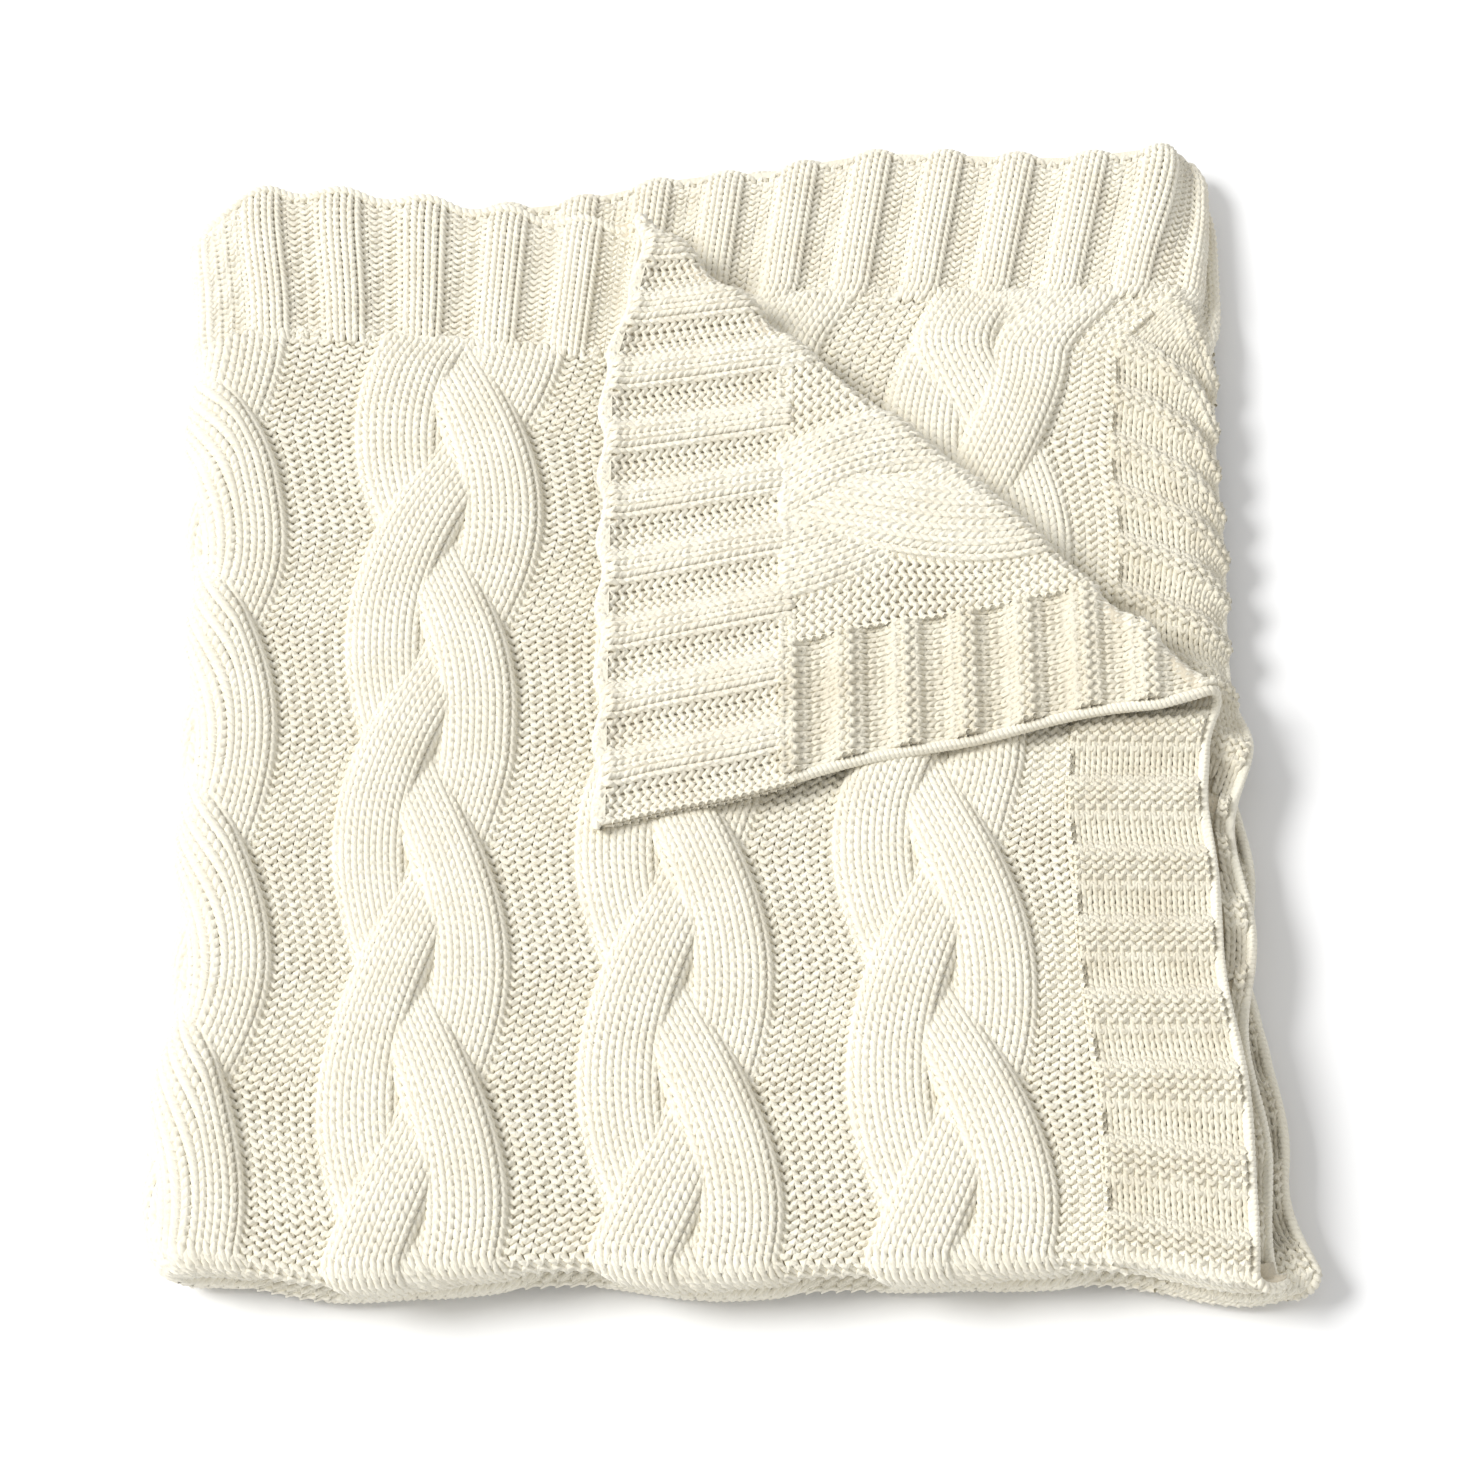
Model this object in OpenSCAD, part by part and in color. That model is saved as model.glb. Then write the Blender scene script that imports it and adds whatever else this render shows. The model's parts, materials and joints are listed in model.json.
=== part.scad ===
// Folded cable-knit throw: one knitted fabric folded in four, with the top layer's free corner turned back.
// Divided at the borders of its stitch structures and at its folds. Units mm, +Z up, rests on z = 0.
// Front (-Y) and left (-X) edges are folds; back (+Y) is the ribbed end; right (+X) is the welted side.

/* [Part] */
// Which node to draw

/* [Throw] */
// Flat width of the throw, across the cables
throw_width = 1270; // [1000:5:1600]
// Depth of the folded throw, front fold to furthest ribbed end
folded_depth = 778; // [600:1:1000]
// Thickness of one resting layer of the knit
layer_t = 12.5; // [7:0.5:16]
// Air between two resting layers
layer_gap = 0.6; // [0.3:0.1:2]

/* [Borders] */
// Height of the ribbed end border, with its bind-off chain
rib_height = 119; // [60:1:180]
// Width of the welted side border, with its chain selvedge
welt_width = 86; // [40:1:140]
// Width of the bind-off chain
end_chain = 7; // [4:0.5:12]
// Width of the chain selvedge
side_chain = 6; // [4:0.5:12]
// Thickness of both chains
chain_t = 8; // [5:0.5:11]

/* [Layer edges] */
// How far the top layer's side edge stays back from the furthest one
top_side_inset = 21; // [0:1:40]
// The same for the second layer
second_side_inset = 12; // [0:1:40]
// The same for the bottom layer
bottom_side_inset = 8; // [0:1:40]
// How far the top layer's end stays back from the furthest one, at the left fold
top_end_inset = 37; // [0:1:80]
// The same at the turned-back corner's crease
top_end_inset_crease = 67; // [0:1:100]
// How far the third layer's end stays back
third_end_inset = 6; // [0:1:40]
// How far the bottom layer's end stays back
bottom_end_inset = 12; // [0:1:40]
// How far the upper front fold stays back from the lower one
upper_front_inset = 4; // [0:0.5:20]

/* [Folds] */
// Straight run of the side fold strips before they turn over
side_run = 12; // [6:1:30]
// Straight run of the front folds before they turn over
front_run = 8; // [4:1:30]
// Straight run of the crease roll before it turns over
crease_run = 6; // [3:1:20]
// Where the crease's outer edge cuts the X axis, with the crease at 45 degrees
crease_x = 270; // [150:1:330]
// Clearance between neighbouring nodes
joint_gap = 0.4; // [0.3:0.05:1]

/* [Turned-back corner] */
// X of the turned-back corner's ribbed end edge
flap_end_x = -72; // [-120:1:-40]
// Y of its tip, where the ribbed end flares
flap_tip_y = -116; // [-140:1:-60]
// Y of its side edge where the rib ends
flap_rib_y = -106; // [-130:1:-50]
// X at which its side edge has drawn in to the cables' width
flap_neck_x = 110; // [60:1:180]
// Y of its side edge there
flap_neck_y = -84; // [-120:1:-40]
// X at which its side edge meets the crease
flap_far_x = 282; // [200:1:320]
// Y of its side edge there
flap_far_y = -40; // [-80:1:0]

/* [Hidden] */

$fa = 6;
$fs = 1.5;

half_gap = layer_gap / 2;
level = layer_t + layer_gap;
hinge_z = 2 * level - half_gap;              // between the second and third layers
crease_z = 4 * level - half_gap;             // between the top layer and the turned-back corner
outer_r = hinge_z - joint_gap;               // outside of the outer side strip
outer_in_r = hinge_z - layer_t;
fold_r = layer_t + half_gap;                 // outside of a fold of two layers
inner_flat = throw_width / 2 - side_run - PI / 2 * (fold_r - layer_t / 2);
total_w = side_run + hinge_z + inner_flat;
x_left = -total_w / 2;
x_right = total_w / 2;
y_front = -folded_depth / 2;
y_back = folded_depth / 2;
x_fold = x_left + side_run + hinge_z;        // where the flat layers start
y_fold = y_front + fold_r + front_run;
y_fold_upper = y_fold + upper_front_inset;
bundle_h = 4 * level - layer_gap;

// crease geometry, measured along its outward normal (1, 1)
root2 = sqrt(2);
crease_out = crease_x / root2;
crease_centre = crease_out - fold_r;
crease_cut = crease_centre - crease_run;
big = 4 * folded_depth;

white = [0.93, 0.91, 0.84];
cream = [0.9, 0.87, 0.78];
ivory = [0.88, 0.85, 0.75];

function layer_z(i) = i * level;
// side edge and end edge of each layer, bottom layer first
side_x = [x_right - bottom_side_inset, x_right, x_right - second_side_inset, x_right - top_side_inset];
end_y = [y_back - bottom_end_inset, y_back - third_end_inset, y_back, y_back - top_end_inset];
start_y = [y_fold, y_fold, y_fold_upper, y_fold_upper];

// the top layer's end edge slopes down to the crease
crease_end_x = crease_x - (y_back - top_end_inset_crease);
end_slope = (top_end_inset - top_end_inset_crease) / (crease_end_x - x_fold);

module slab(i, lo, hi) {
    translate([lo[0], lo[1], layer_z(i)]) cube([hi[0] - lo[0], hi[1] - lo[1], layer_t]);
}

module thin_slab(i, lo, hi) {
    translate([lo[0], lo[1], layer_z(i) + (layer_t - chain_t) / 2])
        cube([hi[0] - lo[0], hi[1] - lo[1], chain_t]);
}

// the whole layers ------------------------------------------------------------------------------------------

module layer_cable_field(i)
    slab(i, [x_fold, start_y[i]], [side_x[i] - welt_width, end_y[i] - rib_height]);

module layer_rib_end(i)
    slab(i, [x_fold, end_y[i] - rib_height + joint_gap], [side_x[i], end_y[i] - end_chain]);

module layer_side_welt(i)
    slab(i, [side_x[i] - welt_width + joint_gap, start_y[i]], [side_x[i] - side_chain, end_y[i] - rib_height]);

module layer_end_chain(i)
    thin_slab(i, [x_fold, end_y[i] - end_chain + joint_gap], [side_x[i], end_y[i]]);

module layer_side_chain(i)
    thin_slab(i, [side_x[i] - side_chain + joint_gap, start_y[i]], [side_x[i], end_y[i] - rib_height]);

// the top layer, cut back at the crease ---------------------------------------------------------------------

module crease_side_2d()
    rotate(45) translate([crease_cut - joint_gap - big, -big / 2]) square([big, big]);

// band under the sloping end edge, from depth a to depth b below it
module end_band_2d(a, b) {
    y0 = end_y[3];
    y1 = y0 + end_slope * (x_right - x_fold);
    polygon([[x_fold, y0 - b], [x_right, y1 - b], [x_right, y1 - a], [x_fold, y0 - a]]);
}

module top_slab(z0, h) {
    translate([0, 0, layer_z(3) + z0]) linear_extrude(h) intersection() {
        crease_side_2d();
        children();
    }
}

module top_cable_field() color(cream) top_slab(0, layer_t) difference() {
    translate([x_fold, y_fold_upper]) square([side_x[3] - welt_width - x_fold, folded_depth]);
    end_band_2d(-folded_depth, rib_height);
}

module top_rib_end() color(white) top_slab(0, layer_t) end_band_2d(end_chain, rib_height - joint_gap);

module top_end_chain() color(ivory) top_slab((layer_t - chain_t) / 2, chain_t)
    end_band_2d(0, end_chain - joint_gap);

module top_side_welt() color(white) top_slab(0, layer_t)
    translate([side_x[3] - welt_width + joint_gap, y_fold_upper])
        square([welt_width - side_chain - joint_gap, folded_depth]);

module top_side_chain() color(ivory) top_slab((layer_t - chain_t) / 2, chain_t)
    translate([side_x[3] - side_chain + joint_gap, y_fold_upper])
        square([side_chain - joint_gap, folded_depth]);

// the turned-back corner, reverse side up -------------------------------------------------------------------

flap_rib_x = flap_end_x + rib_height;

module flap_slab(z0, h) {
    translate([0, 0, layer_z(4) + z0]) linear_extrude(h) intersection() {
        crease_side_2d();
        children();
    }
}

// everything between the crease and a line lying depth above the corner's side edge
module flap_over_2d(depth) {
    polygon([
        [flap_end_x, flap_tip_y + depth], [flap_rib_x, flap_rib_y + depth],
        [flap_neck_x, flap_neck_y + depth], [flap_far_x, flap_far_y + depth],
        [flap_far_x + welt_width, flap_far_y + depth], [flap_far_x + welt_width, y_back], [flap_end_x, y_back]
    ]);
}

// the corner's rib stops at the top layer's end edge, which it grows out of
module flap_band_2d(x0, x1) translate([x0, flap_tip_y]) square([x1 - x0, y_back - top_end_inset_crease - flap_tip_y]);

module flap_rib_end() color(white) flap_slab(0, layer_t) intersection() {
    flap_over_2d(0);
    flap_band_2d(flap_end_x + end_chain, flap_rib_x - joint_gap);
}

module flap_end_chain() color(ivory) flap_slab((layer_t - chain_t) / 2, chain_t) intersection() {
    flap_over_2d(0);
    flap_band_2d(flap_end_x, flap_end_x + end_chain - joint_gap);
}

module flap_cable_field() color(cream) flap_slab(0, layer_t) intersection() {
    flap_over_2d(welt_width);
    flap_band_2d(flap_rib_x, x_right);
}

module flap_side_welt() color(white) flap_slab(0, layer_t) intersection() {
    difference() {
        flap_over_2d(side_chain);
        flap_over_2d(welt_width - joint_gap);
    }
    flap_band_2d(flap_rib_x, x_right - top_side_inset);
}

module flap_side_chain() color(ivory) flap_slab((layer_t - chain_t) / 2, chain_t) intersection() {
    difference() {
        flap_over_2d(0);
        flap_over_2d(side_chain - joint_gap);
    }
    flap_band_2d(flap_rib_x, x_right - top_side_inset);
}

// folds -----------------------------------------------------------------------------------------------------

// section of a fold: two straight runs joined by a half ring that opens towards +X
module fold_2d(r_out, r_in, run) {
    difference() {
        union() {
            intersection() {
                circle(r_out);
                translate([-r_out, -r_out]) square([r_out, 2 * r_out]);
            }
            translate([-joint_gap / 10, -r_out]) square([run, 2 * r_out]);
        }
        circle(r_in);
        translate([0, -r_in]) square([run + r_out, 2 * r_in]);
    }
}

// side fold strip between two Y positions
module side_strip(r_out, r_in, ya, yb)
    translate([x_fold - side_run - joint_gap, yb, hinge_z]) rotate([90, 0, 0]) linear_extrude(yb - ya)
        fold_2d(r_out, r_in, side_run);

// front fold, its section in the YZ plane
module front_strip(z, inset, xa, xb)
    translate([xa, y_fold - front_run + inset - joint_gap, z]) rotate([90, 0, 90]) linear_extrude(xb - xa)
        fold_2d(fold_r, half_gap, front_run);

side_rib_outer_y = end_y[0] - rib_height;
side_rib_inner_y = end_y[1] - rib_height;

module side_fold_outer() color(cream) side_strip(outer_r, outer_in_r, y_fold_upper, side_rib_outer_y);
module side_fold_inner() color(cream) side_strip(fold_r, half_gap, y_fold_upper, side_rib_inner_y);
module side_fold_outer_rib() color(white)
    side_strip(outer_r, outer_in_r, side_rib_outer_y + joint_gap, end_y[3]);
module side_fold_inner_rib() color(white)
    side_strip(fold_r, half_gap, side_rib_inner_y + joint_gap, end_y[1]);

module upper_front_fold() color(cream)
    front_strip(layer_z(2) + fold_r, upper_front_inset, x_fold, side_x[3]);
module lower_front_fold() color(cream) front_strip(fold_r, 0, x_fold, x_right);

// where the front folds wrap around the side fold
module fold_corner() color(cream) intersection() {
    translate([x_fold - side_run - joint_gap, y_fold_upper - joint_gap, hinge_z]) rotate([90, 0, 0])
        linear_extrude(folded_depth / 4) intersection() {
            union() {
                circle(outer_r);
                translate([0, -outer_r]) square([side_run, 2 * outer_r]);
            }
            translate([-outer_r, -outer_r]) square([outer_r + side_run, 2 * outer_r]);
        }
    translate([x_left, y_front + outer_r + joint_gap, hinge_z]) rotate([90, 0, 90])
        linear_extrude(folded_depth / 4) union() {
            circle(outer_r);
            translate([0, -outer_r]) square([folded_depth / 4, 2 * outer_r]);
        }
}

// the rolled crease of the turned-back corner
module crease_roll() color(cream) intersection() {
    rotate([0, 0, 45]) translate([crease_centre, 0, crease_z]) rotate([0, 0, 180]) rotate([90, 0, 0])
        translate([0, 0, -big / 2]) linear_extrude(big) fold_2d(fold_r, half_gap, crease_run);
    translate([crease_end_x, flap_far_y, layer_z(3)])
        cube([side_x[3] - crease_end_x, y_back - top_end_inset_crease - flap_far_y, 2 * level]);
}

// lower layers ----------------------------------------------------------------------------------------------

module second_cable_field() color(cream) layer_cable_field(2);
module second_rib_end() color(white) layer_rib_end(2);
module second_side_welt() color(white) layer_side_welt(2);
module second_end_chain() color(ivory) layer_end_chain(2);
module second_side_chain() color(ivory) layer_side_chain(2);

module third_cable_field() color(cream) layer_cable_field(1);
module third_rib_end() color(white) layer_rib_end(1);
module third_side_welt() color(white) layer_side_welt(1);
module third_end_chain() color(ivory) layer_end_chain(1);
module third_side_chain() color(ivory) layer_side_chain(1);

module bottom_cable_field() color(cream) layer_cable_field(0);
module bottom_rib_end() color(white) layer_rib_end(0);
module bottom_side_welt() color(white) layer_side_welt(0);
module bottom_end_chain() color(ivory) layer_end_chain(0);
module bottom_side_chain() color(ivory) layer_side_chain(0);

top_cable_field();
top_rib_end();
top_side_welt();
top_end_chain();
top_side_chain();
second_cable_field();
second_rib_end();
second_side_welt();
second_end_chain();
second_side_chain();
third_cable_field();
third_rib_end();
third_side_welt();
third_end_chain();
third_side_chain();
bottom_cable_field();
bottom_rib_end();
bottom_side_welt();
bottom_end_chain();
bottom_side_chain();
flap_cable_field();
flap_rib_end();
flap_side_welt();
flap_end_chain();
flap_side_chain();
crease_roll();
upper_front_fold();
lower_front_fold();
side_fold_outer();
side_fold_inner();
side_fold_outer_rib();
side_fold_inner_rib();
fold_corner();
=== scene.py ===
"""Folded cable-knit throw: every layer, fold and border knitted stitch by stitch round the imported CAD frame."""

import json
import math

import bpy
import numpy as np
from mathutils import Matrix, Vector

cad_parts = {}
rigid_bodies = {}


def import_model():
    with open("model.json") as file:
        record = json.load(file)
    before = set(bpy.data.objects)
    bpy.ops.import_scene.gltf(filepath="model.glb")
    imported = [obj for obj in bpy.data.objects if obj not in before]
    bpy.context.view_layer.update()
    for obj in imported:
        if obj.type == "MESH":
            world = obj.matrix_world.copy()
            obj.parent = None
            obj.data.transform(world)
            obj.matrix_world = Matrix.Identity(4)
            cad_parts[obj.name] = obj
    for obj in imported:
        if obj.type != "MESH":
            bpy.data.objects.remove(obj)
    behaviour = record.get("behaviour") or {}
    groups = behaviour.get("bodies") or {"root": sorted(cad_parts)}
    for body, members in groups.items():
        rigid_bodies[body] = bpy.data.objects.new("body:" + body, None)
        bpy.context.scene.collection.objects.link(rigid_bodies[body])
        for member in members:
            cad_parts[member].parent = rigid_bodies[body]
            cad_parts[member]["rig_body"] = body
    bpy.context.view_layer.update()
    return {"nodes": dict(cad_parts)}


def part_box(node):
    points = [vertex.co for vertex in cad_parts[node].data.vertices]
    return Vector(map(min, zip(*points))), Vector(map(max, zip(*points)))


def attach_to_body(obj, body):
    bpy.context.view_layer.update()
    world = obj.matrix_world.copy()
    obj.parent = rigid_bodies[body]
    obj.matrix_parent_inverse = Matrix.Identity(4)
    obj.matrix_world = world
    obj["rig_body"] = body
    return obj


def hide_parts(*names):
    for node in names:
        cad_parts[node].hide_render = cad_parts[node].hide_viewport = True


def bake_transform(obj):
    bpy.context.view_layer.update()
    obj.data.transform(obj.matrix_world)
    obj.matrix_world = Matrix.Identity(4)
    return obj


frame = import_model()
MM = 0.001
PI = math.pi

# ---------------------------------------------------------------- the stack, in mm, from the CAD part's own numbers
LAYER, GAP = 12.5, 0.6
LEVEL = LAYER + GAP
HINGE_Z = 2 * LEVEL - GAP / 2
FOLD_MID = LAYER / 2 + GAP / 2  # mid radius of a fold of two layers
Z_TOP = 3 * LEVEL + LAYER / 2  # mid height of the top layer
X_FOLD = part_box("top_cable_field")[0].x / MM  # where the flat layers start
SIDE_FLAT = 12.4  # from the side fold's arc to the flat layers
X_ARC = X_FOLD - SIDE_FLAT
Y_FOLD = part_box("top_cable_field")[0].y / MM
FRONT_FLAT = 8.4  # the same at the front fold
Y_ARC = Y_FOLD - FRONT_FLAT
FRONT_Z = Z_TOP - FOLD_MID
FRONT_ARC = PI * FOLD_MID
V_TURN = Y_ARC - FRONT_ARC  # below this the fabric runs back again as the second layer
V_HI, V_LO = Y_FOLD, 2 * Y_ARC - FRONT_ARC - Y_FOLD
Y_MID = 2 * Y_ARC - FRONT_ARC  # second layer: y = Y_MID - v
ROOT2 = math.sqrt(2)
CREASE_SUM = 270  # the diagonal crease is the line x + y = 270
SC = CREASE_SUM / ROOT2 - (LAYER + GAP / 2)  # where the crease arc starts, measured along (1, 1)
CREASE_ARC = PI * FOLD_MID
OUT_HALF = PI / 2 * (Z_TOP - HINGE_Z)  # half the way round the outer side fold
IN_HALF = PI / 2 * FOLD_MID

# ---------------------------------------------------------------- the knit
ROW = 5.69  # row height in the cables
HALF_W = 635.0  # half the throw's width, folded edge to side edge
BRAID_PITCH = 154
BRAIDS = [2 + BRAID_PITCH * k for k in range(-3, 4)]  # braid centres across the fabric
STRAND_HALF = 25.0  # half a braid strand's width
STRANDS = 3
COURSE = 78  # rows in which a braid strand swings across and back
LAG = COURSE // STRANDS  # rows between one strand and the next
WELT = 86.0  # width of the banded side borders
BANDS = 12  # yarn columns across a side border
RIB_H = 119.0  # length of the ribbed ends
RIB_COLS, RIB_ROWS = 93, 22
RIB_REPEAT, RIB_PHASE = 6, 1.5  # three knit and three purl columns, and the middle of the first knit rib
RIB_HIGH = 3.3
BAND_HIGH = 3.4
ROLL = 3.2  # how far the last rows of the ribbed ends roll down
END_A, END_B = 352.0, Y_MID - 389.0  # end edge of the top and bottom layers, and of the second and third
END_IN = 7.0  # from the end edge to the first row
SELVEDGE = 6.0  # width kept for the cord along a side edge
CORD_R = 1.4  # radius on which the two yarns of an edge cord wind
WELT_U = HALF_W - WELT  # where the side borders start
YARN = 1.95  # yarn radius
BRAID_YARN = 2.2  # yarn radius in the braids and the edge cords


def sm(x):
    """Smooth step from 0 to 1."""
    x = np.clip(x, 0, 1)
    return x * x * (3 - 2 * x)


def flare(v):
    """Widening of the fabric towards its ribbed ends."""
    near = np.where(v > V_TURN, 1 - (END_A - 14 - v) / 338, 1 - (v - END_B) / 338)
    return 1 + 0.13 * np.clip(near, 0, 1.1) ** 1.2


def steps(x, at, to):
    """Smooth curve through a few given places."""
    out = np.full(np.shape(x), float(to[0]))
    for a, b, p, q in zip(at[:-1], at[1:], to[:-1], to[1:]):
        out = out + (q - p) * sm((x - a) / (b - a))
    return out


def wide(u, v):
    """Fabric column position to distance round the stack, with each layer's own side edge."""
    second = v < V_TURN
    y = np.where(second, Y_MID - v, v)
    top = steps(y, (-372, -100, -60, 20), (0.985, 0.963, 0.968, 1.0)) * flare(v)
    under = steps(y, (-110, 20, 240, 300), (0.961, 0.99, 1.0, 1.0))
    under = under * (1 + (flare(v) - 1) * sm((y - 225) / 60))
    third = steps(y, (-310, -250, -90, 0), (0.989, 0.97, 0.965, 0.925))
    bottom = steps(y, (-310, -250, -90, 0), (1.018, 1.0, 0.995, 0.948))
    turn = sm((V_TURN + 60 - v) / 120)
    up = top + (under - top) * turn
    low = bottom + (third - bottom) * turn
    side = sm((u + 60) / 120)
    ragged = 4.3 * np.sin(y / 21 + 1.5 * second + 2.0 * (u > 0)) * sm((np.abs(u) - 470) / 165)
    ragged = ragged * np.where(second | (u < 0), 1, 0.4)
    return u * (low + (up - low) * side) + ragged * np.sign(u)


def sway(x):
    """How far the top layer's end edge stays down: at its left corner, and on its way to the crease."""
    return 30 * sm((x + 290) / 240) - 22 * sm((x + 60) / 100) + 23 * sm((-280 - x) / 50)


def end_b(x):
    """Line of the second layer's end edge, as an offset from its straight line."""
    return steps(x, (-310, -170, -60, 40, 130, 205, 238, 262, 290, 320),
                 (-52, -40, -15, 3, 0, 9, 3, -16, -48, -85))


def lift(v0, u):
    """Row position to fabric length: rows bend where the end edges do."""
    x = X_ARC + np.abs(u) - OUT_HALF
    wa = np.clip(v0 / END_A, 0, 1.1) ** 1.4
    wb = np.clip((V_TURN - 380 - v0) / 380, 0, 1.1) ** 1.4
    y = Y_MID - v0
    slant = 0.34 * np.maximum(x + 20 - 228, 0) * sm((330 - y) / 90) * sm((y + 130) / 90)
    top = v0 - sway(x) * wa
    bottom = v0 + (8 + np.minimum(end_b(x), 0)) * wa
    second = -end_b(x) * wb + np.where(v0 < V_TURN, slant, 0)
    third = (10 - np.minimum(end_b(x), 4)) * wb
    side = sm((u + 30) / 60)
    low = bottom + third
    return low + (top + second - low) * side


def unlift(v, u):
    """Fabric length back to row position, the inverse of lift."""
    v0 = v
    for _ in range(8):
        v0 = v0 + v - lift(v0, u)
    return v0


def hills(x, y):
    """The gentle lie of a soft stack."""
    return 1.1 * np.sin(x / 71 + 0.6) * np.cos(y / 93 + 0.4) + 0.8 * np.sin(x / 37 - y / 58 + 1.0)


def pressed(u, v):
    """1 inside the inner side fold, where the stitches are pressed flat."""
    return sm((IN_HALF + 14 - np.abs(u)) / 12) * (v < V_TURN + 8)


def spread(u, v):
    """1 round the outer side fold, where the stitches are drawn apart."""
    return sm((OUT_HALF + 8 - np.abs(u)) / 18) * (v > V_TURN)


CURL_X, CURL_R, CURL_MAX = 271, 36.0, 46  # the second layer's curl: where it starts, its radius and its length


def world(u, v, h):
    """Fabric position to the folded throw, mm: u across, v along, h above the face that shows on the top layer."""
    u = wide(u, v)
    h = np.where(h > 0, h * (1 - 0.85 * pressed(u, v)), h)
    phi = np.clip((Y_ARC - v) / FOLD_MID, 0, PI)
    y = Y_ARC + np.maximum(v - Y_ARC, 0) + np.maximum(V_TURN - v, 0) - (FOLD_MID + h) * np.sin(phi)
    z = FRONT_Z + (FOLD_MID + h) * np.cos(phi)
    mid = FRONT_Z + FOLD_MID * np.cos(phi) - HINGE_Z
    half = PI / 2 * mid
    turn = np.clip((half - u) / mid, 0, PI)
    rho = z - HINGE_Z
    x = X_ARC + np.maximum(u - half, 0) + np.maximum(-half - u, 0) - rho * np.sin(turn)
    z = HINGE_Z + rho * np.cos(turn)
    y = y + 3 * turn / PI  # the lower layers lie 3 mm further back
    # the second layer's ribbed end curls down over the side
    is_b = (v < V_TURN) & (u > 0)
    curl = np.where(is_b, np.maximum(x - CURL_X, 0), 0) * sm((y + 90) / 90)
    curl_to = CURL_MAX * np.tanh(curl / CURL_MAX)
    a = np.clip(curl_to / CURL_R, 0, PI / 2)
    x = np.where(curl > 0, x - curl + (CURL_R - h) * np.sin(a), x)
    z = np.where(curl > 0, z - (CURL_R - h) * (1 - np.cos(a)), z)
    # the top layer's corner turns back at the crease
    top = (v > V_TURN) & (u > 0)
    s, t = (x + y) / ROOT2, (y - x) / ROOT2
    over = np.where(top, np.maximum(s - SC, 0), 0)
    b = np.clip(over / FOLD_MID, 0, PI)
    hh = z - Z_TOP
    hh = np.where(hh > 0, hh * (1 - 0.5 * np.sin(b)), hh)
    s2 = s - over + (FOLD_MID - hh) * np.sin(b) - np.maximum(over - CREASE_ARC, 0)
    z2 = Z_TOP + FOLD_MID - (FOLD_MID - hh) * np.cos(b)
    on = over > 0
    x = np.where(on, (s2 - t) / ROOT2, x)
    y = np.where(on, (s2 + t) / ROOT2, y)
    z = np.where(on, z2, z)
    past = np.maximum(over - CREASE_ARC, 0)
    z = z + np.where(on, sm(b / PI) * (2.0 + 3.0 * sm(1 - past / 70)), 0)
    z = z + np.where(top, hills(x, y) * sm((x - X_ARC) / 40) * sm((y - Y_ARC) / 40), 0)
    # the stack's own uneven outline
    dx = steps(y, (-389, -310, -200, -60, 50, 130, 250, 330), (8, 7, 15, 10, 8, 1, -8, -13))
    dy = steps(x, (-330, -300, -223, -75, -15, 78, 205, 287, 325), (9, 2, -9, 0, -7, -3, 0, -13, -7))
    return np.stack([x + dx * sm((-120 - x) / 180), y + dy * sm((-240 - y) / 120), z], -1)


# ---------------------------------------------------------------- which piece of the throw a stitch belongs to
LAYERS = ["bottom", "third", "second", "top"]
KINDS = ["cable_field", "rib_end", "side_welt", "end_chain", "side_chain"]
NAMES = [f"{l}_{k}" for l in LAYERS + ["flap"] for k in KINDS] + [
    "crease_roll", "upper_front_fold", "lower_front_fold", "side_fold_outer", "side_fold_inner",
    "side_fold_outer_rib", "side_fold_inner_rib", "fold_corner"]
ID = {n: i for i, n in enumerate(NAMES)}
CREASE_START, CREASE_END = SC - 4, SC + CREASE_ARC + 4  # the crease roll's borders, along (1, 1)


def crease_pos(u, v):
    """Distance along (1, 1) of a fabric point of the top layer, as if it lay flat."""
    x = X_ARC + wide(u, v) - OUT_HALF
    return (x + v) / ROOT2


def piece_of(u, v, kind):
    """Index of the CAD node that a fabric point lies in."""
    k = KINDS.index(kind)
    w = np.abs(wide(u, v))
    upper_len, front = v > V_HI, (v <= V_HI) & (v >= V_LO)
    side = w < np.where(upper_len, OUT_HALF + SIDE_FLAT, np.where(front, 30, IN_HALF + SIDE_FLAT))
    layer = np.where(u > 0, np.where(v > V_TURN, 3, 2), np.where(v > V_TURN, 0, 1))
    out = layer * len(KINDS) + k
    s = crease_pos(u, v)
    out = np.where((layer == 3) & (s > CREASE_START), ID["crease_roll"], out)
    out = np.where((layer == 3) & (s > CREASE_END), ID["flap_cable_field"] + k, out)
    out = np.where(front, np.where(u > 0, ID["upper_front_fold"], ID["lower_front_fold"]), out)
    rib = kind in ("rib_end", "end_chain")
    outer, inner = ("side_fold_outer_rib", "side_fold_inner_rib") if rib else ("side_fold_outer", "side_fold_inner")
    out = np.where(side & upper_len, ID[outer], out)
    out = np.where(side & (v < V_LO), ID[inner], out)
    return np.where(side & front, ID["fold_corner"], out)


FLAP_X, FLAP_Y, FLAP_SLOPE = -72, -116, 0.21  # the turned-back corner's tip, and the slope of its front edge


def under_flap(u, v):
    """Well under the turned-back corner."""
    x = X_ARC + wide(u, v) - OUT_HALF
    return (np.minimum(x - FLAP_X, v - FLAP_Y - (x - FLAP_X) * FLAP_SLOPE) > 45) & (v < 320)


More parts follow.
